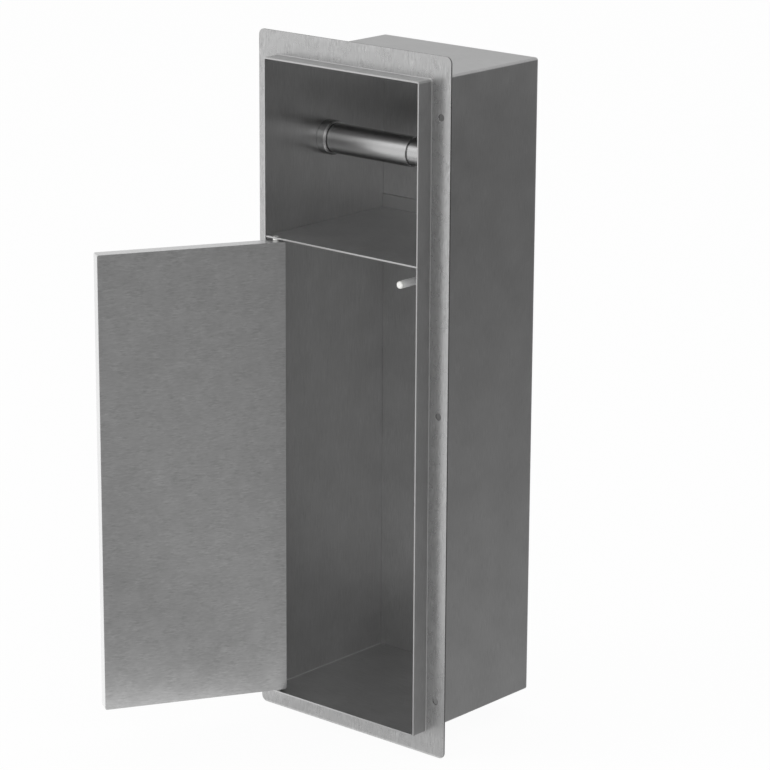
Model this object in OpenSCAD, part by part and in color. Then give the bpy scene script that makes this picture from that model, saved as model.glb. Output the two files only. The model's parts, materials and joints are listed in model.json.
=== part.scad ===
// Recessed toilet roll cabinet: a roll bay above a bay with a hinged door.
// X runs to the right, Y into the wall and Z up. The wall surface is the plane Y = 0,
// and the origin is the centre of the mounting flange on it.

/* [Cabinet body] */
// Outside width of the folded body
body_w = 170; // [150:1:220]
// Outside depth of the body, front edge to back
body_d = 152.5; // [145:0.5:190]
// How far the front edge stands out from the wall
front_reveal = 17.5; // [14:0.5:24]
// Thickness of the body sheet
sheet_t = 1.5; // [1.2:0.1:2]
// Outside radius of the body's folds
fold_r = 2.2; // [2.1:0.1:3.5]
// Thickness of the back panel
back_t = 1.2; // [1:0.1:2]

/* [Mounting flange] */
// Width of the flange outside the body
flange_margin = 20; // [16:1:30]
// Thickness of the flange plate
flange_t = 1.5; // [1:0.1:3]
// Corner radius of the flange
flange_r = 5.5; // [4:0.5:12]
// Diameter of the screw holes
screw_hole_d = 6; // [4:0.5:8]
// Distance of the outer holes from the flange's top and bottom edges
screw_end_inset = 50; // [35:1:80]
// Width of the weld bead between flange and body
weld_leg = 1; // [0.6:0.1:1.5]

/* [Bays and shelf] */
// Clear height of the lower bay, behind the door
door_bay_h = 405; // [330:1:500]
// Clear height of the upper bay, round the roll in use
roll_bay_h = 150.5; // [130:0.5:200]
// Thickness of the shelf sheet
shelf_t = 1.5; // [1.2:0.1:2]
// How far the shelf edge lies behind the body's front edge
shelf_setback = 0.5; // [0:0.1:2]
// Height of the lip turned up along the back of the shelf
shelf_lip = 12; // [8:1:20]

/* [Door] */
// Thickness of the door
door_t = 12; // [11:0.5:16]
// Thickness of the door's sheets
door_skin = 1.2; // [0.8:0.1:1.5]
// Outside radius of the folds of the door's outer pan
door_fold_r = 1.6; // [1.5:0.1:2.2]
// Gap beside the door at the hinge
door_gap_hinge = 2.5; // [2.2:0.1:4]
// Gap beside the door at the latch
door_gap_latch = 1.5; // [1.2:0.1:3]
// Gap above and below the door
door_gap_end = 2; // [1.6:0.1:3]
// Opening angle of the door as it stands
door_open = 120; // [90:1:125]

/* [Door hinge] */
// Distance from the pin axis to the door's hinge edge
pivot_inset = 6; // [5.5:0.1:8]
// Distance from the pin axis to the door's outer face
pivot_setback = 3.8; // [3.8:0.1:5]
// Diameter of the hinge pins
pin_d = 3; // [2.5:0.5:5]
// Radial play of the pins in their bushes
pin_play = 0.08; // [0.03:0.01:0.1]
// Wall of the bush sleeve
bush_wall = 0.7; // [0.6:0.1:1.5]
// Width of the bush collar round its sleeve
bush_collar = 0.4; // [0.3:0.1:1.2]
// Length of pin held in the door block
pin_grip = 16; // [10:1:24]
// Width of the hinge blocks
block_w = 20; // [14:1:30]
// Height of the hinge blocks
block_h = 22; // [18:1:34]

/* [Roll spindle] */
// Height of the spindle axis above the shelf
spindle_rise = 73.5; // [60:0.5:80]
// Distance of the spindle axis from the body's front edge
spindle_depth = 78; // [70:0.5:90]
// Diameter of the wall bosses
boss_d = 30; // [28:1:36]
// Length of the wall bosses
boss_l = 10; // [9:0.5:14]
// Diameter of the larger spindle tube
spindle_d = 26; // [24:0.5:28]
// Wall of the spindle tubes
tube_wall = 1.2; // [1:0.1:1.5]
// Radial play between the two tubes
tube_play = 0.1; // [0.05:0.01:0.2]
// Diameter of the stubs at the spindle's ends
stub_d = 10; // [8:0.5:12]
// Length of the stubs
stub_l = 6; // [4:0.5:7]
// Depth of the stub bore in a boss
boss_bore = 7; // [6.6:0.1:8]
// Gap between a spindle end and its boss
end_gap = 0.3; // [0.2:0.1:0.6]
// Length of tube inside tube with the spindle out full
tube_overlap = 30; // [20:1:40]
// Wire of the spindle spring
spindle_wire = 1.4; // [1:0.1:1.6]
// Turns of the spindle spring
spindle_turns = 9; // [6:1:10]

/* [Push latch] */
// Distance of the plunger axis from the body's right side, inside
latch_inset = 29; // [24:0.5:34]
// Distance of the plunger axis below the shelf
latch_drop = 21; // [18:0.5:26]
// Diameter of the plunger
plunger_d = 6.5; // [6:0.5:7.5]
// Length of the white cap
tip_l = 4; // [3:0.5:6]
// Gap between the cap and the closed door
tip_gap = 0.4; // [0.3:0.1:1]
// Length of plunger in front of its barrel
plunger_reach = 34; // [32:0.5:38]
// Diameter of the barrel
barrel_d = 12; // [11.5:0.5:14]
// Length of the barrel
barrel_l = 56; // [52:1:66]
// Wall of the barrel
barrel_wall = 1.5; // [1.2:0.1:1.8]
// Diameter of the barrel's front collar
collar_d = 16; // [15:0.5:18]
// Thickness of the barrel's front collar
collar_t = 3; // [2:0.5:4]
// Thickness of the bracket sheet
bracket_t = 1.5; // [1.2:0.1:2]
// Width of the bracket
bracket_w = 20; // [18:1:26]
// Length of the bracket's leg under the shelf
bracket_leg = 22; // [16:1:30]
// Thickness of the lock nut
nut_t = 5; // [3:0.5:6]
// Size of the lock nut across its flats
nut_flats = 17; // [16:1:19]
// Wire of the latch spring
latch_wire = 0.8; // [0.5:0.1:1]
// Turns of the latch spring
latch_turns = 10; // [6:1:12]

/* [Hidden] */
$fn = 48;

// Overrun of every cut past the solid that it opens
cut = 1;
// Clearance of a pressed or glued fit
seat_play = 0.02;
// Share of a tube's diameter that its edge chamfer takes
chamfer_share = 0.05;
// Share of a boss's diameter that the flange of a spindle end is thick
end_cap_share = 0.1;
// Share of the spindle's diameter that a spigot reaches into its tube
spigot_share = 0.33;
// Share of the plunger's diameter that its cap is rounded by
dome_share = 0.25;
// Half the angle between two flats of a hexagon
hex_half_angle = 30;
// Sides and rings a turn of the spring wire
wire_sides = 6;
turn_rings = 8;

// Colours of the finishes
steel = [0.60, 0.60, 0.60];
steel_cut = [0.75, 0.75, 0.75];
nylon = [0.95, 0.95, 0.93];
plastic_grey = [0.72, 0.72, 0.72];
spring_steel = [0.45, 0.45, 0.47];

// Body planes
body_h = door_bay_h + shelf_t + roll_bay_h + 2 * sheet_t;
side_x = body_w / 2;
wall_x = side_x - sheet_t;
top_z = body_h / 2;
front_y = -front_reveal;
back_y = front_y + body_d;
panel_y = back_y - back_t;
floor_z = -top_z + sheet_t;

// Flange and its holes
flange_w = body_w + 2 * flange_margin;
flange_h = body_h + 2 * flange_margin;
hole_x = side_x + flange_margin / 2;
hole_z = flange_h / 2 - screw_end_inset;

// Shelf planes
shelf_under_z = floor_z + door_bay_h;
shelf_top_z = shelf_under_z + shelf_t;
shelf_front_y = front_y + shelf_setback;

// Door, drawn shut and then turned open about its pins
door_w = 2 * wall_x - door_gap_hinge - door_gap_latch;
door_h = door_bay_h - 2 * door_gap_end;
door_bottom_z = floor_z + door_gap_end;
door_top_z = door_bottom_z + door_h;
pivot_x = -wall_x + door_gap_hinge + pivot_inset;
pivot_y = front_y + pivot_setback;
pan_depth = door_t - door_skin;

// Bushes: a sleeve through the sheet and a collar in the gap beside the door
bush_bore_r = pin_d / 2 + pin_play;
bush_r = bush_bore_r + bush_wall;
bush_collar_r = bush_r + bush_collar;
bush_collar_t = door_gap_end - end_gap;

// Spindle, along X
axis_y = front_y + spindle_depth;
axis_z = shelf_top_z + spindle_rise;
spindle_half = wall_x - boss_l - end_gap;
end_cap_l = boss_d * end_cap_share;
tube_start_x = -spindle_half + end_cap_l;
tube_end_x = spindle_half - end_cap_l;
outer_len = (tube_end_x - tube_start_x + tube_overlap) / 2;
inner_r = spindle_d / 2 - tube_wall - tube_play;
inner_start_x = tube_start_x + outer_len - tube_overlap;
inner_len = tube_end_x - inner_start_x;
spigot_l = spindle_d * spigot_share;
spindle_spring_r = inner_r - spindle_wire / 2;
spindle_spring_l = inner_start_x - tube_start_x - spigot_l - 2 * seat_play;

// Latch, along Y
latch_x = wall_x - latch_inset;
latch_z = shelf_under_z - latch_drop;
tip_y = front_y + door_t + tip_gap;
barrel_y = tip_y + plunger_reach;
bracket_y = barrel_y + collar_t;
guide_l = collar_t + bracket_t + nut_t;
guide_r = plunger_d / 2 + tube_play;
barrel_bore_r = barrel_d / 2 - barrel_wall;
ring_y = barrel_y + guide_l + seat_play;
ring_t = collar_t;
plug_l = 2 * collar_t;
plug_y = barrel_y + barrel_l - plug_l;
latch_spring_r = barrel_bore_r - tube_play - latch_wire / 2;
latch_spring_l = plug_y - ring_y - ring_t - 2 * seat_play;

// A rectangle with round corners, from squares and circles
module round_rect(w, h, r) {
    square([w - 2 * r, h], center = true);
    square([w, h - 2 * r], center = true);
    for (sx = [-1, 1], sz = [-1, 1])
        translate([sx * (w / 2 - r), sz * (h / 2 - r)])
            circle(r);
}

// A 2D shape in the plane of X and Z, made solid from y over length l
module upright(y, l) {
    translate([0, y + l, 0])
        rotate([90, 0, 0])
            linear_extrude(l)
                children();
}

// A profile of radius and height, turned about an axis along X or Y
module turned_x(x, dir = 1) {
    translate([x, axis_y, axis_z])
        rotate([0, dir * 90, 0])
            rotate_extrude()
                children();
}

module turned_y(y) {
    translate([latch_x, y, latch_z])
        rotate([-90, 0, 0])
            rotate_extrude()
                children();
}

// What belongs to the door stands open at door_open
module door_pose() {
    translate([pivot_x, pivot_y, 0])
        rotate([0, 0, -door_open])
            translate([-pivot_x, -pivot_y, 0])
                children();
}

// The points of one wire ring of a coil at angle a
function wire_ring(a, mean_r, wire, pitch) = [
    for (s = [0 : wire_sides - 1])
        let (t = 360 * s / wire_sides, q = mean_r + wire / 2 * cos(t))
        [q * cos(a), q * sin(a), wire / 2 + pitch * a / 360 + wire / 2 * sin(t)]
];

// A helical compression spring of outer radius mean_r + wire / 2 that stands on z = 0
module coil(mean_r, wire, length, turns) {
    pitch = (length - wire) / turns;
    rings = turns * turn_rings;
    points = [for (i = [0 : rings]) each wire_ring(360 * i / turn_rings, mean_r, wire, pitch)];
    walls = [
        for (i = [0 : rings - 1], s = [0 : wire_sides - 1])
            let (a = i * wire_sides + s, b = i * wire_sides + (s + 1) % wire_sides)
            each [[a, b, b + wire_sides], [a, b + wire_sides, a + wire_sides]]
    ];
    start = [for (s = [1 : wire_sides - 2]) [0, s + 1, s]];
    last = rings * wire_sides;
    end = [for (s = [1 : wire_sides - 2]) [last, last + s, last + s + 1]];
    polyhedron(points, concat(walls, start, end));
}

// Cabinet body

module body_wrap() {
    color(steel)
        upright(front_y, panel_y - front_y)
            difference() {
                round_rect(body_w, body_h, fold_r);
                round_rect(body_w - 2 * sheet_t, body_h - 2 * sheet_t, fold_r - sheet_t);
            }
}

module back_panel() {
    color(steel)
        upright(panel_y, back_t)
            round_rect(body_w, body_h, fold_r);
}

module mounting_flange() {
    color(steel)
        difference() {
            upright(-flange_t, flange_t)
                difference() {
                    round_rect(flange_w, flange_h, flange_r);
                    round_rect(body_w, body_h, fold_r);
                }
            for (x = [-hole_x, hole_x], z = [-hole_z, 0, hole_z])
                translate([x, cut, z])
                    rotate([90, 0, 0])
                        cylinder(h = flange_t + 2 * cut, d = screw_hole_d);
        }
}

// The bead narrows towards the front in two steps, as a ground fillet does
module flange_weld() {
    color(steel_cut)
        for (k = [0, 1])
            upright(-flange_t - (k + 1) * weld_leg / 2, weld_leg / 2)
                difference() {
                    grow = weld_leg * (2 - k) / 2;
                    round_rect(body_w + 2 * grow, body_h + 2 * grow, fold_r + grow);
                    round_rect(body_w, body_h, fold_r);
                }
}

module shelf() {
    color(steel)
        difference() {
            translate([-wall_x, 0, 0])
                rotate([90, 0, 90])
                    linear_extrude(2 * wall_x) {
                        translate([shelf_front_y, shelf_under_z])
                            square([panel_y - shelf_front_y, shelf_t]);
                        translate([panel_y - shelf_t, shelf_under_z])
                            square([shelf_t, shelf_t + shelf_lip]);
                    }
            translate([pivot_x, pivot_y, shelf_under_z - cut])
                cylinder(h = shelf_t + 2 * cut, r = bush_r + seat_play);
        }
}

// Bushes and bosses on the body

module bush(sleeve_l) {
    color(nylon)
        rotate_extrude() {
            translate([bush_bore_r, 0])
                square([bush_wall, sleeve_l + bush_collar_t]);
            translate([bush_bore_r, 0])
                square([bush_collar_r - bush_bore_r, bush_collar_t]);
        }
}

module hinge_bush_top() {
    translate([pivot_x, pivot_y, shelf_under_z - bush_collar_t])
        bush(shelf_t);
}

module hinge_bush_bottom() {
    translate([pivot_x, pivot_y, floor_z + bush_collar_t])
        rotate([180, 0, 0])
            bush(0);
}

module boss_profile() {
    edge = boss_d * chamfer_share;
    difference() {
        polygon([
            [0, 0], [boss_d / 2, 0], [boss_d / 2, boss_l - edge],
            [boss_d / 2 - edge, boss_l], [0, boss_l]
        ]);
        translate([0, boss_l - boss_bore])
            square([stub_d / 2 + tube_play, boss_bore + cut]);
    }
}

module spindle_boss_left() {
    color(steel)
        turned_x(-wall_x)
            boss_profile();
}

module spindle_boss_right() {
    color(steel)
        turned_x(wall_x, -1)
            boss_profile();
}

// Roll spindle: a large tube on the left and a smaller one that slides in it

module tube_profile(r, l) {
    translate([r - tube_wall, 0])
        square([tube_wall, l]);
}

// A turned end: stub, flange as wide as the tube, and a spigot inside the tube
module end_profile(r) {
    edge = stub_d * chamfer_share;
    polygon([
        [0, -stub_l], [stub_d / 2 - edge, -stub_l], [stub_d / 2, edge - stub_l],
        [stub_d / 2, 0], [r - edge, 0], [r, edge], [r, end_cap_l],
        [r - tube_wall - seat_play, end_cap_l],
        [r - tube_wall - seat_play, end_cap_l + spigot_l], [0, end_cap_l + spigot_l]
    ]);
}

module spindle_outer_tube() {
    color(steel)
        turned_x(tube_start_x)
            tube_profile(spindle_d / 2, outer_len);
}

module spindle_left_end() {
    color(steel)
        turned_x(-spindle_half)
            end_profile(spindle_d / 2);
}

module spindle_inner_tube() {
    color(steel)
        turned_x(inner_start_x)
            tube_profile(inner_r, inner_len);
}

module spindle_right_end() {
    color(steel)
        turned_x(spindle_half, -1)
            end_profile(inner_r);
}

module spindle_spring() {
    color(spring_steel)
        translate([tube_start_x + spigot_l + seat_play, axis_y, axis_z])
            rotate([0, 90, 0])
                coil(spindle_spring_r, spindle_wire, spindle_spring_l, spindle_turns);
}

// Push latch

module latch_bracket() {
    color(steel)
        difference() {
            union() {
                translate([latch_x - bracket_w / 2, bracket_y, latch_z - bracket_w / 2])
                    cube([bracket_w, bracket_t, shelf_under_z - latch_z + bracket_w / 2]);
                translate([latch_x - bracket_w / 2, bracket_y, shelf_under_z - bracket_t])
                    cube([bracket_w, bracket_leg, bracket_t]);
            }
            translate([latch_x, bracket_y - cut, latch_z])
                rotate([-90, 0, 0])
                    cylinder(h = bracket_t + 2 * cut, d = barrel_d + 2 * tube_play);
        }
}

module latch_barrel() {
    color(plastic_grey)
        turned_y(barrel_y)
            difference() {
                union() {
                    square([barrel_d / 2, barrel_l]);
                    square([collar_d / 2, collar_t]);
                }
                translate([0, -cut])
                    square([guide_r, guide_l + 2 * cut]);
                translate([0, guide_l])
                    square([barrel_bore_r, barrel_l]);
            }
}

module latch_lock_nut() {
    color(steel_cut)
        translate([latch_x, bracket_y + bracket_t, latch_z])
            rotate([-90, 0, 0])
                difference() {
                    cylinder(h = nut_t, d = nut_flats / cos(hex_half_angle), $fn = 6);
                    translate([0, 0, -cut])
                        cylinder(h = nut_t + 2 * cut, d = barrel_d + 2 * seat_play);
                }
}

module latch_rear_plug() {
    color(plastic_grey)
        turned_y(plug_y)
            square([barrel_bore_r - seat_play, plug_l]);
}

module latch_plunger() {
    color(plastic_grey)
        turned_y(tip_y + tip_l)
            union() {
                square([plunger_d / 2, ring_y + ring_t - tip_y - tip_l]);
                translate([0, ring_y - tip_y - tip_l])
                    square([barrel_bore_r - tube_play, ring_t]);
            }
}

module plunger_tip() {
    dome = plunger_d * dome_share;
    color(nylon)
        turned_y(tip_y)
            union() {
                translate([0, dome])
                    square([plunger_d / 2, tip_l - dome]);
                square([plunger_d / 2 - dome, tip_l]);
                intersection() {
                    translate([plunger_d / 2 - dome, dome])
                        circle(dome);
                    square([plunger_d / 2, tip_l]);
                }
            }
}

module latch_spring() {
    color(spring_steel)
        translate([latch_x, ring_y + ring_t + seat_play, latch_z])
            rotate([-90, 0, 0])
                coil(latch_spring_r, latch_wire, latch_spring_l, latch_turns);
}

// Door, in its shut place

// The outer face and the four edges turned back from it
module door_outer_pan() {
    mid_x = pivot_x - pivot_inset + door_w / 2;
    mid_z = (door_bottom_z + door_top_z) / 2;
    color(steel)
        door_pose()
            difference() {
                translate([mid_x, 0, mid_z])
                    difference() {
                        upright(front_y, pan_depth)
                            round_rect(door_w, door_h, door_fold_r);
                        upright(front_y + door_skin, pan_depth)
                            round_rect(
                                door_w - 2 * door_skin, door_h - 2 * door_skin,
                                door_fold_r - door_skin
                            );
                    }
                for (z = [door_bottom_z, door_top_z])
                    translate([pivot_x, pivot_y, z - door_skin - cut])
                        cylinder(h = 2 * (door_skin + cut), d = pin_d + 2 * seat_play);
            }
}

module door_inner_cover() {
    color(steel)
        door_pose()
            translate([pivot_x - pivot_inset + door_w / 2, 0, (door_bottom_z + door_top_z) / 2])
                upright(front_y + pan_depth, door_skin)
                    round_rect(door_w, door_h, door_fold_r);
}

// A block between the two door skins, bored for the pin and set in clear of the pan's folds
module hinge_block(z) {
    inner_y = front_y + door_skin + seat_play;
    color(steel_cut)
        door_pose()
            difference() {
                translate([pivot_x - pivot_inset + door_fold_r + seat_play, inner_y, z])
                    cube([block_w, pan_depth - door_skin - 2 * seat_play, block_h]);
                translate([pivot_x, pivot_y, z - cut])
                    cylinder(h = block_h + 2 * cut, d = pin_d + 2 * seat_play);
            }
}

module hinge_block_top() {
    hinge_block(door_top_z - door_skin - seat_play - block_h);
}

module hinge_block_bottom() {
    hinge_block(door_bottom_z + door_skin + seat_play);
}

// A round pin with both rims chamfered, z to z + l
module hinge_pin(z, l) {
    edge = pin_d * chamfer_share;
    color(steel_cut)
        translate([pivot_x, pivot_y, z])
            rotate_extrude()
                polygon([
                    [0, 0], [pin_d / 2 - edge, 0], [pin_d / 2, edge],
                    [pin_d / 2, l - edge], [pin_d / 2 - edge, l], [0, l]
                ]);
}

module hinge_pin_top() {
    hinge_pin(door_top_z - pin_grip, pin_grip + door_gap_end + shelf_t);
}

module hinge_pin_bottom() {
    hinge_pin(floor_z + seat_play, pin_grip + door_gap_end - seat_play);
}

body_wrap();
back_panel();
mounting_flange();
flange_weld();
shelf();
hinge_bush_top();
hinge_bush_bottom();
spindle_boss_left();
spindle_boss_right();
latch_bracket();
latch_barrel();
latch_lock_nut();
latch_rear_plug();
latch_spring();
door_outer_pan();
door_inner_cover();
hinge_block_top();
hinge_block_bottom();
hinge_pin_top();
hinge_pin_bottom();
latch_plunger();
plunger_tip();
spindle_outer_tube();
spindle_left_end();
spindle_inner_tube();
spindle_right_end();
spindle_spring();
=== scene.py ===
import json
import math
import bmesh
import bpy
from mathutils import Matrix, Vector


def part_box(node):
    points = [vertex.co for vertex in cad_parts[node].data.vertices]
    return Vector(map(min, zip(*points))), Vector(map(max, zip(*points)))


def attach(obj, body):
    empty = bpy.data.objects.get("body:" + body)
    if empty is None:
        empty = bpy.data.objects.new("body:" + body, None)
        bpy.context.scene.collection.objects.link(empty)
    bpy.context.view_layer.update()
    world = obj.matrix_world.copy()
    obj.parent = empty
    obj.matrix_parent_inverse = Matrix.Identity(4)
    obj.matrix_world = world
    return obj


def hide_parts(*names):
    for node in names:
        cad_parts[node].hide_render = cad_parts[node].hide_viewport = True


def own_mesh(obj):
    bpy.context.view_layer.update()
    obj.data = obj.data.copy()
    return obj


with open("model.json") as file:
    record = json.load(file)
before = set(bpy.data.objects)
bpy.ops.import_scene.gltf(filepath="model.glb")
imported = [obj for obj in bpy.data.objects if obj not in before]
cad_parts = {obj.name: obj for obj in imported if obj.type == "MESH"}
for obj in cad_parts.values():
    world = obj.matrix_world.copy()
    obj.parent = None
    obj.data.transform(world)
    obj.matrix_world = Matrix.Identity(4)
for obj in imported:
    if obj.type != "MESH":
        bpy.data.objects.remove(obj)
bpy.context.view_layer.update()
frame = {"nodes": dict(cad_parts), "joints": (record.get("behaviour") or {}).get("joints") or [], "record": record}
nodes = frame["nodes"]
record = frame["record"]
bodyOf = {node: body for body, members in record["behaviour"]["bodies"].items() for node in members}
jointOf = {joint["name"]: joint for joint in frame["joints"]}
mm = 0.001
print("frame loaded:", len(nodes), "solids")


def linearColour(code):
    # sRGB hex to linear values
    parts = [int(code[k:k + 2], 16) / 255 for k in (1, 3, 5)]
    return [p / 12.92 if p <= 0.04045 else ((p + 0.055) / 1.055) ** 2.4 for p in parts] + [1.0]


def addObject(name, data):
    made = bpy.data.objects.new(name, data)
    bpy.context.scene.collection.objects.link(made)
    return made


def addNode(tree, kind, settings=None, links=None):
    # one shader node: settings go to its sockets or properties, links are other nodes' outputs or values
    made = tree.nodes.new(kind)
    for name, value in (settings or {}).items():
        if isinstance(name, int) or name in made.inputs:
            made.inputs[name].default_value = value
        else:
            setattr(made, name, value)
    for name, source in (links or {}).items():
        if hasattr(source, "is_output"):
            tree.links.new(source, made.inputs[name])
        else:
            made.inputs[name].default_value = source
    return made


def newMaterial(name):
    material = bpy.data.materials.new(name)
    material.use_nodes = True
    tree = material.node_tree
    tree.nodes.clear()
    return material, tree


# camera: the photograph's viewing angle, a long lens from the front right and a little above
cameraLook = {
    "place": (1.7636, -1.9909, 0.7585),   # m
    "turn": 0.7148,        # radians, as tilt and roll are
    "tilt": 0.2746,
    "roll": 0.0058,
    "lens": 153.67,        # mm
    "sensor": 36,          # mm
    "farthest": 100,       # m, beyond the edge of the floor
}


def makeCamera():
    data = bpy.data.cameras.new("camera")
    data.lens = cameraLook["lens"]
    data.sensor_width = cameraLook["sensor"]
    data.clip_end = cameraLook["farthest"]
    camera = addObject("camera", data)
    turn = Matrix.Rotation(cameraLook["turn"], 4, "Z")
    tilt = Matrix.Rotation(math.pi / 2 - cameraLook["tilt"], 4, "X")
    roll = Matrix.Rotation(cameraLook["roll"], 4, "Z")
    camera.matrix_world = Matrix.Translation(cameraLook["place"]) @ turn @ tilt @ roll
    bpy.context.scene.camera = camera


makeCamera()
print("camera set")


# brushed stainless sheet: satin, with short streaks of the abrasive belt and faint clouds,
# so it mirrors softly and looks darker or lighter with what stands opposite
sheetLook = {
    "colour": "#bcbcbc",
    # painted light: the inside faces of the same sheet are drawn lighter, to brighten the bay
    "insideLitColour": "#c8c8c8",
    # painted highlight: the bare cut edges are drawn lighter than the brushed faces
    "cutHighlightColour": "#c8c8c8",
    "metallic": 0.96,
    "roughness": 0.3,
    "cutRoughness": 0.42,
    "grainWidth": 1.0,     # mm; the real grit lines are 0.1 mm, drawn wider to show
    "grainLength": 9,      # mm
    "grainContrast": 0.06,
    "grainDepth": 0.0015,  # mm
    "patchSize": 14,       # mm; the belt bites harder in some patches than in others
    "patchSpread": 0.5,
    "cloudSize": 30,       # mm
    "cloudContrast": 0.045,
    "sheenSpread": 0.015,  # how far the roughness follows the clouds
}
# painted shade: the flange's cut rim and screw-hole walls are drawn dark grey
flangeLook = {**sheetLook, "wallShadeColour": "#5c5c5c", "metallic": 0.84, "roughness": 0.28,
              "grainLength": 5, "grainContrast": 0.12, "patchSpread": 0.75, "cloudSize": 9}
# painted highlight: the door's turned-over edges are drawn lighter than its broad faces
doorLook = {**sheetLook, "foldHighlightColour": "#e2e2e2", "grainWidth": 1.1, "grainLength": 5,
            "grainContrast": 0.11, "patchSize": 9, "cloudSize": 14, "cloudContrast": 0.05}
# painted light: the back panel inside the bay takes the lighter inside tone
insideLitLook = {**sheetLook, "colour": sheetLook["insideLitColour"]}
# painted light: the shelf and latch bracket, the same sheet steel as the body, are drawn lighter to brighten them
# in the bay
shelfLitLook = {**sheetLook, "colour": "#e0e0e0"}
weldLook = {**sheetLook, "colour": "#c4c4c4", "roughness": 0.4}    # ground, so duller than the sheet

noiseSpan = (0.3, 0.7)         # most values of a noise lie between these
patchSpan = (0.35, 0.65)       # a little closer, for patches with clearer borders
# cosines between a face's normal and a direction: lying and cut faces have more, folds and walls less
faceLimits = {"lying": 0.7, "cut": 0.9, "fold": 0.5, "wall": 0.3}


def brushedNoise(tree, place, along, look):
    # noise drawn out along one direction of the sheet
    size = [1 / (look["grainWidth"] * mm)] * 3
    size["XYZ".index(along)] = 1 / (look["grainLength"] * mm)
    mapped = addNode(tree, "ShaderNodeMapping", {"Scale": size}, {"Vector": place})
    return addNode(tree, "ShaderNodeTexNoise",
                   {"Scale": 1.0, "Detail": 3.0, "Roughness": 0.6},
                   {"Vector": mapped.outputs["Vector"]}).outputs["Fac"]


def insideBox(tree, coords, half):
    # 1 where a point lies within the given half width and half height
    away = addNode(tree, "ShaderNodeVectorMath", {"operation": "ABSOLUTE"}, {0: coords.outputs["Object"]})
    share = addNode(tree, "ShaderNodeVectorMath", {"operation": "DIVIDE", 1: (half[0], 1, half[1])},
                    {0: away.outputs["Vector"]})
    share = addNode(tree, "ShaderNodeSeparateXYZ", links={"Vector": share.outputs["Vector"]})
    largest = addNode(tree, "ShaderNodeMath", {"operation": "MAXIMUM"},
                      {0: share.outputs["X"], 1: share.outputs["Z"]})
    return addNode(tree, "ShaderNodeMath", {"operation": "LESS_THAN", 1: 1.0},
                   {0: largest.outputs["Value"]}).outputs["Value"]


def facesAlong(tree, coords, direction, test, limit, bothWays=True):
    # 1 on the faces whose normal's cosine with the direction passes the test
    along = addNode(tree, "ShaderNodeVectorMath", {"operation": "DOT_PRODUCT", 1: direction},
                    {0: coords.outputs["Normal"]}).outputs["Value"]
    if bothWays:
        along = addNode(tree, "ShaderNodeMath", {"operation": "ABSOLUTE"}, {0: along}).outputs["Value"]
    return addNode(tree, "ShaderNodeMath", {"operation": test, 1: limit}, {0: along}).outputs["Value"]


def brushedTone(tree, grain, cloud, patch, look):
    # factor on the colour: the grain's streaks, stronger where the belt bit harder, times the clouds
    bite = addNode(tree, "ShaderNodeMapRange",
                   {"From Min": patchSpan[0], "From Max": patchSpan[1],
                    "To Min": 1 - look["patchSpread"], "To Max": 1 + look["patchSpread"]},
                   {"Value": patch})
    streak = addNode(tree, "ShaderNodeMapRange",
                     {"clamp": False, "From Min": noiseSpan[0], "From Max": noiseSpan[1],
                      "To Min": -look["grainContrast"], "To Max": look["grainContrast"]},
                     {"Value": grain})
    tint = addNode(tree, "ShaderNodeMath", {"operation": "MULTIPLY_ADD", 2: 1.0},
                   {0: streak.outputs["Result"], 1: bite.outputs["Result"]})
    shade = addNode(tree, "ShaderNodeMapRange",
                    {"From Min": noiseSpan[0], "From Max": noiseSpan[1],
                     "To Min": 1 - look["cloudContrast"], "To Max": 1 + look["cloudContrast"]},
                    {"Value": cloud})
    return addNode(tree, "ShaderNodeMath", {"operation": "MULTIPLY"},
                   {0: tint.outputs["Value"], 1: shade.outputs["Result"]}).outputs["Value"]


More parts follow.
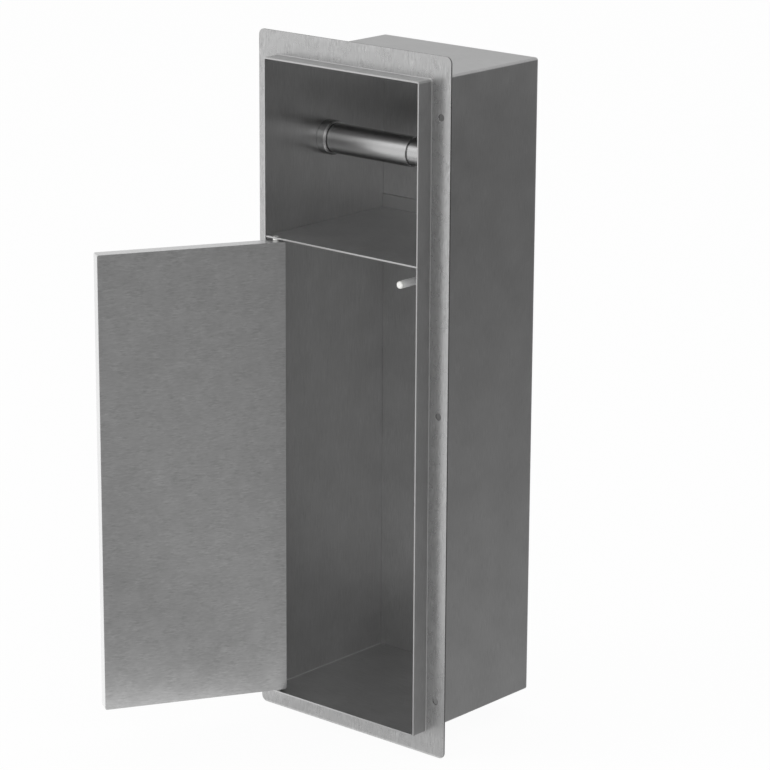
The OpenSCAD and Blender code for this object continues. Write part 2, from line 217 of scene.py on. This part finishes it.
def brushedStainless(name, look, upright="Z", turned=0.0, inside=None, broadFace=None, cutWalls=False,
                     cutFace=None):
    # upright: the brushing direction on standing faces, while lying faces are brushed along X
    # turned: the angle, in radians, by which the sheet stands turned from the X axis
    # inside: half width and half height within which faces take the lighter inside tone, painted light that
    # brightens the bay
    # broadFace: direction of the broad faces, where the turned-over edges are drawn lighter than these as a
    # painted highlight
    # cutWalls: the walls that the laser cut, the rim and the screw holes, are drawn dark grey as painted shade
    # along the rim and in the holes
    # cutFace: direction of the bare cut edges, which are drawn lighter than the brushed faces, a painted highlight
    material, tree = newMaterial(name)
    coords = addNode(tree, "ShaderNodeTexCoord")
    place = addNode(tree, "ShaderNodeMapping", {"Rotation": (0, 0, turned)},
                    {"Vector": coords.outputs["Object"]}).outputs["Vector"]
    standing = brushedNoise(tree, place, upright, look)
    lying = brushedNoise(tree, place, "X", look)
    isLying = facesAlong(tree, coords, (0, 0, 1), "GREATER_THAN", faceLimits["lying"])
    grain = addNode(tree, "ShaderNodeMix", {"data_type": "FLOAT"},
                    {0: isLying, 2: standing, 3: lying}).outputs[0]
    cloud = addNode(tree, "ShaderNodeTexNoise",
                    {"Scale": 1 / (look["cloudSize"] * mm), "Detail": 2.0},
                    {"Vector": place}).outputs["Fac"]
    patch = addNode(tree, "ShaderNodeTexNoise", {"Scale": 1 / (look["patchSize"] * mm), "Detail": 1.0},
                    {"Vector": coords.outputs["Object"]}).outputs["Fac"]

    base = linearColour(look["colour"])
    # painted light: faces inside the bay are drawn lighter than the outside of the same sheet
    if inside:
        base = addNode(tree, "ShaderNodeMix",
                       {"data_type": "RGBA", 6: base, 7: linearColour(look["insideLitColour"])},
                       {0: insideBox(tree, coords, inside)}).outputs[2]
    faceColour = addNode(tree, "ShaderNodeMix",
                         {"data_type": "RGBA", "blend_type": "MULTIPLY", "Factor": 1.0},
                         {6: base, 7: brushedTone(tree, grain, cloud, patch, look)}).outputs[2]
    rough = addNode(tree, "ShaderNodeMapRange",
                    {"From Min": noiseSpan[0], "From Max": noiseSpan[1],
                     "To Min": look["roughness"] - look["sheenSpread"],
                     "To Max": look["roughness"] + look["sheenSpread"]},
                    {"Value": cloud}).outputs["Result"]

    # painted light: lighter folds and cut faces are painted highlights, darker cut walls are painted shade
    overlays = []
    if broadFace:
        isLitFold = facesAlong(tree, coords, broadFace, "LESS_THAN", faceLimits["fold"])
        overlays.append((isLitFold, look["foldHighlightColour"]))
    if cutWalls:
        isShadedWall = facesAlong(tree, coords, (0, 1, 0), "LESS_THAN", faceLimits["wall"])
        overlays.append((isShadedWall, look["wallShadeColour"]))
    if cutFace:
        isCut = facesAlong(tree, coords, cutFace, "GREATER_THAN", faceLimits["cut"], bothWays=False)
        overlays.append((isCut, look["cutHighlightColour"]))
        rough = addNode(tree, "ShaderNodeMix", {"data_type": "FLOAT", 3: look["cutRoughness"]},
                        {0: isCut, 2: rough}).outputs[0]
    for mask, code in overlays:
        faceColour = addNode(tree, "ShaderNodeMix", {"data_type": "RGBA", 7: linearColour(code)},
                             {0: mask, 6: faceColour}).outputs[2]

    bump = addNode(tree, "ShaderNodeBump",
                   {"Strength": 1.0, "Distance": look["grainDepth"] * mm}, {"Height": grain})
    steel = addNode(tree, "ShaderNodeBsdfPrincipled", {"Metallic": look["metallic"]},
                    {"Base Color": faceColour, "Roughness": rough, "Normal": bump.outputs["Normal"]})
    addNode(tree, "ShaderNodeOutputMaterial", links={"Surface": steel.outputs["BSDF"]})
    return material


def shadeByNoise(tree, noise, colour, look, settings):
    # colour and relief follow one noise: darker and deeper in its troughs
    base = Vector(linearColour(colour)[:3])
    tint = addNode(tree, "ShaderNodeValToRGB", links={"Fac": noise})
    for mark, place, share in zip(tint.color_ramp.elements, noiseSpan, look["tints"]):
        mark.position = place
        mark.color = [*(base * share), 1]
    bump = addNode(tree, "ShaderNodeBump", {"Strength": 1.0, "Distance": look["depth"] * mm},
                   {"Height": noise})
    surface = addNode(tree, "ShaderNodeBsdfPrincipled", {"Roughness": look["roughness"], **settings},
                      {"Base Color": tint.outputs["Color"], "Normal": bump.outputs["Normal"]})
    addNode(tree, "ShaderNodeOutputMaterial", links={"Surface": surface.outputs["BSDF"]})


# turned or ground bright steel: fine rings round the axis, brighter than the brushed sheet
turnedLook = {
    "colour": "#c8c8c8",
    "roughness": 0.26,
    "ringPitch": 0.8,      # mm; the tool's real marks are finer, drawn wider to show
    "ringFade": 50 / 3,    # mm along a ring before its shade changes
    "depth": 0.001,        # mm
    "tints": (0.97, 1.02),
}
# drawn spring wire: a little darker and duller than the turned steel
wireLook = {**turnedLook, "colour": "#a2a3a6", "roughness": 0.34, "ringPitch": 1.2}


def turnedSteel(name, look, axis):
    material, tree = newMaterial(name)
    coords = addNode(tree, "ShaderNodeTexCoord")
    size = [1 / (look["ringFade"] * mm)] * 3
    size["XYZ".index(axis)] = 1 / (look["ringPitch"] * mm)
    mapped = addNode(tree, "ShaderNodeMapping", {"Scale": size}, {"Vector": coords.outputs["Object"]})
    rings = addNode(tree, "ShaderNodeTexNoise", {"Scale": 1.0, "Detail": 2.0},
                    {"Vector": mapped.outputs["Vector"]}).outputs["Fac"]
    shadeByNoise(tree, rings, look["colour"], look, {"Metallic": 1.0})
    return material


# injection-moulded nylon and acetal: a faint orange-peel skin and a soft gloss
plasticLook = {
    "white": "#f2f2ef",
    "grey": "#eeeeee",
    "roughness": 0.42,
    "ior": 1.53,           # of nylon; acetal comes close
    "peelSize": 0.7,       # mm
    "depth": 0.02,         # mm
    "tints": (0.96, 1.0),
}


def mouldedPlastic(name, colour):
    material, tree = newMaterial(name)
    coords = addNode(tree, "ShaderNodeTexCoord")
    peel = addNode(tree, "ShaderNodeTexNoise",
                   {"Scale": 1 / (plasticLook["peelSize"] * mm), "Detail": 2.0},
                   {"Vector": coords.outputs["Object"]}).outputs["Fac"]
    shadeByNoise(tree, peel, plasticLook[colour], plasticLook, {"IOR": plasticLook["ior"]})
    return material


doorTurn = math.radians(jointOf["door_hinge"]["range_deg"][1])    # from shut to how the door is drawn
doorOut = (math.sin(doorTurn), math.cos(doorTurn), 0)
withinSheet = 0.8    # mm in from the body's outer faces, between the two faces of its sheet
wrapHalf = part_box("body_wrap")[1] - Vector((withinSheet, 0, withinSheet)) * mm

wrapSteel = brushedStainless("brushedStainlessBody", sheetLook, inside=(wrapHalf.x, wrapHalf.z),
                             cutFace=(0, -1, 0))
panelSteel = brushedStainless("brushedStainlessBack", insideLitLook)
flangeSteel = brushedStainless("brushedStainlessFlange", flangeLook, cutWalls=True)
shelfSteel = brushedStainless("brushedStainlessShelf", shelfLitLook, upright="X", cutFace=(0, -1, 0))
doorSteel = brushedStainless("brushedStainlessDoor", doorLook, upright="X", turned=doorTurn,
                             broadFace=doorOut)
weldSteel = brushedStainless("groundWeldBead", weldLook)
bossSteel = turnedSteel("turnedStainlessAcross", turnedLook, "X")
pinSteel = turnedSteel("groundSteelPin", turnedLook, "Z")
nutSteel = turnedSteel("turnedSteelNut", turnedLook, "Y")
springWire = turnedSteel("drawnSpringWire", wireLook, "X")
whiteNylon = mouldedPlastic("mouldedNylonWhite", "white")
greyPlastic = mouldedPlastic("mouldedAcetalGrey", "grey")

finishes = {
    "body_wrap": wrapSteel,
    "back_panel": panelSteel,
    "mounting_flange": flangeSteel,
    "flange_weld": weldSteel,
    "shelf": shelfSteel,
    "hinge_bush_top": whiteNylon,
    "hinge_bush_bottom": whiteNylon,
    "spindle_boss_left": bossSteel,
    "spindle_boss_right": bossSteel,
    "latch_bracket": shelfSteel,
    "latch_barrel": greyPlastic,
    "latch_lock_nut": nutSteel,
    "latch_rear_plug": greyPlastic,
    "latch_spring": springWire,
    "door_outer_pan": doorSteel,
    "door_inner_cover": doorSteel,
    "hinge_block_top": nutSteel,
    "hinge_block_bottom": nutSteel,
    "hinge_pin_top": pinSteel,
    "hinge_pin_bottom": pinSteel,
    "latch_plunger": greyPlastic,
    "plunger_tip": whiteNylon,
    "spindle_outer_tube": bossSteel,
    "spindle_left_end": bossSteel,
    "spindle_inner_tube": bossSteel,
    "spindle_right_end": bossSteel,
    "spindle_spring": springWire,
}
for node, material in finishes.items():
    for slot in nodes[node].material_slots:
        slot.material = material
print("finishes on", len(finishes), "solids")


def placePiece(name, mesh, node):
    # the finished mesh stands for a solid of the frame: same finish, same body, same slot
    data = bpy.data.meshes.new(name)
    mesh.to_mesh(data)
    mesh.free()
    data.materials.append(finishes[node])
    piece = addObject(name, data)
    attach(piece, bodyOf[node])
    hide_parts(node)
    return piece


def skinRings(mesh, rings, closed, flatSides=()):
    # joins each ring of points to the next: the last meets the first if closed, else the ends get faces
    following = rings[1:] + rings[:1] if closed else rings[1:]
    for first, second in zip(rings, following):
        for k in range(len(first)):
            after = (k + 1) % len(first)
            face = mesh.faces.new((first[k], first[after], second[after], second[k]))
            face.smooth = k not in flatSides
    if not closed:
        mesh.faces.new(rings[0])
        mesh.faces.new(rings[-1])
    bmesh.ops.recalc_face_normals(mesh, faces=mesh.faces)


# sheets, turned and moulded parts again with their edges broken, as deburring leaves them: a thin glint
edgeLook = {            # name of the piece, mm taken off each edge
    "body_wrap": ("foldedBody", 0.25),
    "back_panel": ("backSheet", 0.25),
    "mounting_flange": ("flangePlate", 0.25),
    "shelf": ("shelfSheet", 0.25),
    "door_outer_pan": ("doorPan", 0.2),
    "door_inner_cover": ("doorCover", 0.2),
    "latch_bracket": ("latchBracket", 0.25),
    "spindle_boss_left": ("leftBoss", 0.5),
    "spindle_boss_right": ("rightBoss", 0.5),
    "spindle_outer_tube": ("outerTube", 0.25),
    "spindle_inner_tube": ("innerTube", 0.15),
    "spindle_left_end": ("leftSpindleEnd", 0.3),
    "spindle_right_end": ("rightSpindleEnd", 0.3),
    "hinge_block_top": ("topHingeBlock", 0.4),
    "hinge_block_bottom": ("bottomHingeBlock", 0.4),
    "hinge_bush_top": ("topBush", 0.12),
    "hinge_bush_bottom": ("bottomBush", 0.12),
    "latch_lock_nut": ("lockNut", 0.4),
    "latch_rear_plug": ("rearPlug", 0.3),
    "latch_plunger": ("plungerShank", 0.15),
    "plunger_tip": ("plungerCap", 0.15),
}
bluntest = math.radians(38)    # edges flatter than this are folds and stay
flattest = math.radians(0.5)   # faces that meet flatter than this are one face
samePoint = 0.002 * mm
facets = 2                     # across a broken edge


def breakEdges(node, name, width):
    mesh = bmesh.new()
    mesh.from_mesh(nodes[node].data)
    bmesh.ops.remove_doubles(mesh, verts=mesh.verts, dist=samePoint)
    bmesh.ops.dissolve_limit(mesh, angle_limit=flattest, verts=mesh.verts, edges=mesh.edges)
    sharp = [e for e in mesh.edges if e.is_manifold and e.calc_face_angle() > bluntest]
    bmesh.ops.bevel(mesh, geom=sharp, offset=width * mm, offset_type="OFFSET", segments=facets,
                    profile=0.5, affect="EDGES", clamp_overlap=False)
    for face in mesh.faces:
        face.smooth = True
    piece = placePiece(name, mesh, node)
    piece.modifiers.new("evenNormals", "WEIGHTED_NORMAL").keep_sharp = True


for node, (name, width) in edgeLook.items():
    breakEdges(node, name, width)
print("edges broken on", len(edgeLook), "parts")


# the two compression springs again with closed, ground ends
springLook = {             # wire in mm
    "latch_spring": {"piece": "latchSpring", "joint": "latch_press", "wire": 0.8, "turns": 10},
    "spindle_spring": {"piece": "spindleSpring", "joint": "spindle_compress", "wire": 1.4, "turns": 9},
}
windingLook = {
    "closedTurns": 0.75,   # at each end
    "openingTurns": 0.5,   # over which the pitch grows to that of the working turns
    "closedPitch": 1.03,   # wire diameters from turn to turn at the ends
    "groundSeat": 0.4,     # wire radii from the ground face to the wire's centre
    "stepsPerTurn": 28,
    "sides": 10,
}


def windWire(mesh, node, size, along):
    # rings of points round the wire, from one ground end of the spring to the other
    across = [k for k in range(3) if k != along]
    low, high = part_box(node)
    middle = (low + high) / 2
    length = high[along] - low[along]
    wireRadius = size["wire"] * mm / 2
    coilRadius = (high[across[0]] - low[across[0]]) / 2 - wireRadius
    stepsPerTurn = windingLook["stepsPerTurn"]
    steps = size["turns"] * stepsPerTurn

    def opening(turn):
        # 0 over the closed turns, 1 over the working turns
        share = min(turn, size["turns"] - turn) - windingLook["closedTurns"]
        share = max(0.0, min(1.0, share / windingLook["openingTurns"]))
        return share * share * (3 - 2 * share)

    openings = [opening((k + 0.5) / stepsPerTurn) / stepsPerTurn for k in range(steps)]
    closedPitch = 2 * wireRadius * windingLook["closedPitch"]
    seat = windingLook["groundSeat"] * wireRadius
    extra = (length - 2 * seat - closedPitch * size["turns"]) / sum(openings)
    rise = seat
    rings = []
    for k in range(steps + 1):
        turn = 2 * math.pi * k / stepsPerTurn
        out = Vector((math.cos(turn), math.sin(turn), 0))
        slope = closedPitch + extra * opening(k / stepsPerTurn)
        ahead = Vector((-math.sin(turn), math.cos(turn), slope / (2 * math.pi * coilRadius))).normalized()
        side = ahead.cross(out)
        ring = []
        for s in range(windingLook["sides"]):
            angle = 2 * math.pi * s / windingLook["sides"]
            point = (coilRadius + wireRadius * math.cos(angle)) * out
            point += wireRadius * math.sin(angle) * side
            place = Vector((0, 0, 0))
            place[along] = low[along] + min(max(point.z + rise, 0), length)
            place[across[0]] = middle[across[0]] + point.x
            place[across[1]] = middle[across[1]] + point.y
            ring.append(mesh.verts.new(place))
        rings.append(ring)
        if k < steps:
            rise += closedPitch / stepsPerTurn + extra * openings[k]
    return rings


def makeSpring(node, size):
    joint = jointOf[size["joint"]]
    held = joint["deforming_nodes"][0]
    letter = held["mode"][-1]    # the axis that the spring shortens along
    along = "xyz".index(letter)
    mesh = bmesh.new()
    skinRings(mesh, windWire(mesh, node, size, along), closed=False)
    spring = placePiece(size["piece"], mesh, node)
    axis = Vector((0, 0, 0))
    axis[along] = 1
    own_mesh(spring)


for node, size in springLook.items():
    makeSpring(node, size)
print("springs wound:", len(springLook))


# latch barrel again with the thread that its lock nut runs on, moulded in one with collar and bore
barrelLook = {             # mm
    "radius": 6.0,
    "collarLength": 3.0,
    "boreRadius": 4.5,
    "guideRadius": 3.35,
    "guideLength": 9.5,
    "pitch": 1.5,
    "threadDepth": 0.45,
    "runOut": 1.2,
    "edge": 0.3,
    "rowsPerPitch": 6,
    "sides": 40,
}


def barrelRows(look, collarRadius, length):
    # the outline in mm: radius, distance from the front and share of the thread's depth
    edge = look["edge"]
    threadStart = look["collarLength"] + look["runOut"]
    threadEnd = length - look["runOut"]
    rows = [
        (look["guideRadius"], edge, 0),
        (look["guideRadius"] + edge, 0, 0),
        (collarRadius - edge, 0, 0),
        (collarRadius, edge, 0),
        (collarRadius, look["collarLength"] - edge, 0),
        (collarRadius - edge, look["collarLength"], 0),
        (look["radius"], look["collarLength"], 0),
    ]
    step = look["pitch"] / look["rowsPerPitch"]
    for k in range(int((threadEnd - threadStart) / step) + 1):
        away = threadStart + k * step
        share = min(1.0, k * step / look["runOut"], (threadEnd - away) / look["runOut"])
        rows.append((look["radius"], away, share))
    rows += [
        (look["radius"], length - edge, 0),
        (look["radius"] - edge, length, 0),
        (look["boreRadius"], length, 0),
        (look["boreRadius"], look["guideLength"], 0),
        (look["guideRadius"] + edge, look["guideLength"], 0),
        (look["guideRadius"], look["guideLength"] - edge, 0),
    ]
    return rows


def makeBarrel(look):
    low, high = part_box("latch_barrel")
    middle = (low + high) / 2
    mesh = bmesh.new()
    rings = []
    for radius, away, share in barrelRows(look, (high.x - low.x) / 2 / mm, (high.y - low.y) / mm):
        ring = []
        for s in range(look["sides"]):
            turn = 2 * math.pi * s / look["sides"]
            wave = 0.5 - 0.5 * math.cos(2 * math.pi * away / look["pitch"] - turn)
            reach = (radius - look["threadDepth"] * share * wave) * mm
            ring.append(mesh.verts.new((middle.x + reach * math.cos(turn), low.y + away * mm,
                                        middle.z + reach * math.sin(turn))))
        rings.append(ring)
    skinRings(mesh, rings, closed=True)
    for line in mesh.edges:
        line.smooth = line.calc_face_angle() < bluntest
    placePiece("latchBarrel", mesh, "latch_barrel")


makeBarrel(barrelLook)
print("latch barrel threaded")


# weld bead between flange and body: a thin ground fillet with faint ripples, a light line in the corner
beadLook = {               # mm
    "leg": 0.9,
    "ripplePitch": 1.6,
    "rippleDepth": 0.05,
    "spacing": 0.8,        # between the sections on the straight runs
    "foldRadius": 2.2,     # of the body's corners
    "foldSteps": 6,        # sections round a corner
    # the face of the bead in shares of its leg: away from the body and in front of the flange
    "section": ((0, 1), (0.2, 0.55), (0.55, 0.2), (1, 0)),
}


def beadPath():
    # points round the body's outline, each with the direction away from the body as an angle
    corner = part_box("body_wrap")[1]
    foldRadius = beadLook["foldRadius"] * mm
    centres = [Vector((sx * (corner.x - foldRadius), sz * (corner.z - foldRadius)))
               for sx, sz in ((1, 1), (-1, 1), (-1, -1), (1, -1))]
    step = 90 / beadLook["foldSteps"]
    path = []
    for index, centre in enumerate(centres):
        for k in range(beadLook["foldSteps"] + 1):
            turn = math.radians(90 * index + step * k)
            path.append((centre + foldRadius * Vector((math.cos(turn), math.sin(turn))), turn))
        first = path[-1][0]
        last = centres[(index + 1) % 4] + foldRadius * Vector((math.cos(turn), math.sin(turn)))
        count = int((last - first).length / (beadLook["spacing"] * mm))
        for k in range(1, count):
            path.append((first.lerp(last, k / count), turn))
    return path


def makeWeldBead():
    path = beadPath()
    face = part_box("mounting_flange")[0].y
    mesh = bmesh.new()
    rings = []
    travelled = 0.0
    for index, (point, turn) in enumerate(path):
        travelled += (point - path[index - 1][0]).length if index else 0
        ripple = math.sin(2 * math.pi * travelled / (beadLook["ripplePitch"] * mm))
        leg = (beadLook["leg"] + beadLook["rippleDepth"] * ripple) * mm
        out = Vector((math.cos(turn), math.sin(turn)))
        ring = []
        for away, front in beadLook["section"]:
            place = point + out * leg * away
            ring.append(mesh.verts.new((place.x, face - leg * front, place.y)))
        ring.append(mesh.verts.new((point.x, face, point.y)))
        rings.append(ring)
    onFlange = len(beadLook["section"]) - 1
    onBody = onFlange + 1
    skinRings(mesh, rings, closed=True, flatSides=(onFlange, onBody))
    placePiece("weldBead", mesh, "flange_weld")


makeWeldBead()
print("weld bead laid")


# the room: pale floor, white sky and a screen of greys that shows in reflections alone
roomLook = {
    "floorLevel": -0.3005,     # m, just under the flange
    "floorReach": 40,          # m
    "floorColour": "#f4f4f4",
    "floorGlow": 0.95,         # share of plain white that it shows; the rest takes the shadow
    "skyForSurfaces": 0.8,     # strength of its light on surfaces, where it shows as 1
    # radius and height in m of the screen's outline, from the object's foot up to its top
    "screenOutline": ((0.0005, 0.002), (0.3, 0.002), (0.5, 0.003), (0.7, 0.03), (0.82, 0.12),
                      (0.87, 0.3), (0.88, 1.7)),
    "screenSides": 72,
    # grey of the screen at each angle round the object, 0 to the right and 90 behind it
    "screenTones": {-180: 1.0, -150: 0.96, -131: 0.93, -120: 0.86, -105: 0.46, -90: 0.3, -60: 0.26,
                    -49: 0.12, -40: 0.3, -30: 0.36, -20: 0.31, -11: 0.275, 0: 0.19, 25: 0.145, 49: 0.135,
                    70: 0.23, 90: 0.38, 120: 0.52, 131: 0.57, 145: 0.95, 180: 1.0},
    "footTone": 0.5,           # of the screen's middle, right under the flange
    "footHalf": (0.13, 0.06),  # m
    "footFade": (0.7, 1.3),    # where it fades out, as shares of that
    "nearLight": 0.2,          # added near the foot, as a white floor would
    "nearReach": 0.4,          # m up the screen, where it has faded out
    "nearSpread": 0.3,         # a metre outwards counts as this much upwards
    "highTone": 0.64,          # the screen's upper part, all round
    "highFrom": 0.45,          # m
    "highTo": 0.75,
}


def seenRays(tree):
    # 1 for rays that show a surface, straight or in a mirror, and 0 for those that only light others
    rays = addNode(tree, "ShaderNodeLightPath")
    seen = rays.outputs["Is Camera Ray"]
    for kind in ("Is Glossy Ray", "Is Transmission Ray"):
        seen = addNode(tree, "ShaderNodeMath", {"operation": "MAXIMUM"},
                       {0: seen, 1: rays.outputs[kind]}).outputs["Value"]
    return seen


def makeFloor():
    mesh = bpy.data.meshes.new("floor")
    reach = roomLook["floorReach"]
    mesh.from_pydata([(-reach, -reach, 0), (reach, -reach, 0), (reach, reach, 0), (-reach, reach, 0)],
                     [], [(0, 1, 2, 3)])
    floor = addObject("floor", mesh)
    floor.location.z = roomLook["floorLevel"]
    material, tree = newMaterial("paleFloor")
    part = addNode(tree, "ShaderNodeMath", {"operation": "MULTIPLY", 1: roomLook["floorGlow"]},
                   {0: seenRays(tree)})
    matt = addNode(tree, "ShaderNodeBsdfDiffuse", {"Color": linearColour(roomLook["floorColour"])})
    glow = addNode(tree, "ShaderNodeEmission", {"Color": (1, 1, 1, 1), "Strength": 1.0})
    both = addNode(tree, "ShaderNodeMixShader",
                   links={0: part.outputs["Value"], 1: matt.outputs["BSDF"], 2: glow.outputs["Emission"]})
    addNode(tree, "ShaderNodeOutputMaterial", links={"Surface": both.outputs["Shader"]})
    mesh.materials.append(material)


def makeSky():
    world = bpy.data.worlds.new("softSky")
    bpy.context.scene.world = world
    world.use_nodes = True
    tree = world.node_tree
    tree.nodes.clear()
    strength = addNode(tree, "ShaderNodeMapRange",
                       {"To Min": roomLook["skyForSurfaces"], "To Max": 1.0}, {"Value": seenRays(tree)})
    sky = addNode(tree, "ShaderNodeBackground", {"Color": (1, 1, 1, 1)},
                  {"Strength": strength.outputs["Result"]})
    addNode(tree, "ShaderNodeOutputWorld", links={"Surface": sky.outputs["Background"]})


def greyPaper():
    # the screen's own light: its greys round the object, one grey right under it and one along the top
    material, tree = newMaterial("greyPaper")
    coords = addNode(tree, "ShaderNodeTexCoord")
    around = addNode(tree, "ShaderNodeTexGradient", {"gradient_type": "RADIAL"},
                     {"Vector": coords.outputs["Object"]})
    tones = addNode(tree, "ShaderNodeValToRGB", links={"Fac": around.outputs["Fac"]})
    marks = tones.color_ramp.elements
    while len(marks) > 1:
        marks.remove(marks[-1])
    for k, (angle, tone) in enumerate(sorted(roomLook["screenTones"].items())):
        place = (angle + 180) / 360
        mark = marks[0] if k == 0 else marks.new(place)
        mark.position = place
        mark.color = (tone, tone, tone, 1)

    apart = addNode(tree, "ShaderNodeSeparateXYZ", links={"Vector": coords.outputs["Object"]})
    high = addNode(tree, "ShaderNodeMapRange",
                   {"interpolation_type": "SMOOTHSTEP", "From Min": roomLook["highFrom"],
                    "From Max": roomLook["highTo"]}, {"Value": apart.outputs["Z"]})
    foot = addNode(tree, "ShaderNodeVectorMath", {"operation": "DIVIDE", 1: (*roomLook["footHalf"], 1)},
                   {0: coords.outputs["Object"]})
    foot = addNode(tree, "ShaderNodeVectorMath", {"operation": "LENGTH"}, {0: foot.outputs["Vector"]})
    foot = addNode(tree, "ShaderNodeMapRange",
                   {"From Min": roomLook["footFade"][0], "From Max": roomLook["footFade"][1],
                    "To Min": 1.0, "To Max": 0.0}, {"Value": foot.outputs["Value"]})
    shaded = tones.outputs["Color"]
    for mask, tone in ((high, roomLook["highTone"]), (foot, roomLook["footTone"])):
        shaded = addNode(tree, "ShaderNodeMix", {"data_type": "RGBA", 7: [tone] * 3 + [1]},
                         {0: mask.outputs["Result"], 6: shaded}).outputs[2]

    spread = roomLook["nearSpread"]
    flat = addNode(tree, "ShaderNodeVectorMath", {"operation": "MULTIPLY", 1: (spread, spread, 1)},
                   {0: coords.outputs["Object"]})
    far = addNode(tree, "ShaderNodeVectorMath", {"operation": "LENGTH"}, {0: flat.outputs["Vector"]})
    near = addNode(tree, "ShaderNodeMapRange",
                   {"From Min": 0.0, "From Max": roomLook["nearReach"], "To Min": roomLook["nearLight"],
                    "To Max": 0.0}, {"Value": far.outputs["Value"]})
    total = addNode(tree, "ShaderNodeVectorMath", {"operation": "ADD"},
                    {0: shaded, 1: near.outputs["Result"]})
    paper = addNode(tree, "ShaderNodeEmission", {"Strength": 1.0}, {"Color": total.outputs["Vector"]})
    addNode(tree, "ShaderNodeOutputMaterial", links={"Surface": paper.outputs["Emission"]})
    return material


def makeScreen():
    # a grey paper screen that only mirror rays meet: it runs up from the floor all round the object,
    # dark on the right and light on the left, so that each steel face takes its own grey
    outline = roomLook["screenOutline"]
    sides = roomLook["screenSides"]
    rows = len(outline)
    vertices = []
    faces = []
    for k in range(sides):
        turn = 2 * math.pi * k / sides
        for radius, height in outline:
            vertices.append((radius * math.cos(turn), radius * math.sin(turn), height))
    for k in range(sides):
        here = k * rows
        after = (k + 1) % sides * rows
        for r in range(rows - 1):
            faces.append((here + r, after + r, after + r + 1, here + r + 1))
    mesh = bpy.data.meshes.new("screen")
    mesh.from_pydata(vertices, [], faces)
    mesh.materials.append(greyPaper())
    screen = addObject("screen", mesh)
    screen.location.z = roomLook["floorLevel"]
    screen.visible_camera = False
    screen.visible_diffuse = False
    screen.visible_transmission = False
    screen.visible_shadow = False


lampLook = {               # place, width and height in m
    "keyLamp": {"place": (-1.6, -2.2, 1.8), "width": 1.4, "height": 1.4, "watts": 18, "mirrored": True},
    "fillLamp": {"place": (1.9, -1.9, 0.25), "width": 1.4, "height": 1.0, "watts": 20, "mirrored": False},
}


def makeLamp(name, look):
    data = bpy.data.lights.new(name, "AREA")
    data.shape = "RECTANGLE"
    data.size = look["width"]
    data.size_y = look["height"]
    data.energy = look["watts"]
    lamp = addObject(name, data)
    lamp.location = look["place"]
    towardOrigin = -Vector(look["place"])
    lamp.rotation_euler = towardOrigin.to_track_quat("-Z", "Y").to_euler()
    lamp.visible_glossy = look["mirrored"]


makeFloor()
makeSky()
makeScreen()
for name, look in lampLook.items():
    makeLamp(name, look)
bpy.context.scene.view_settings.view_transform = "Standard"
print("room ready")
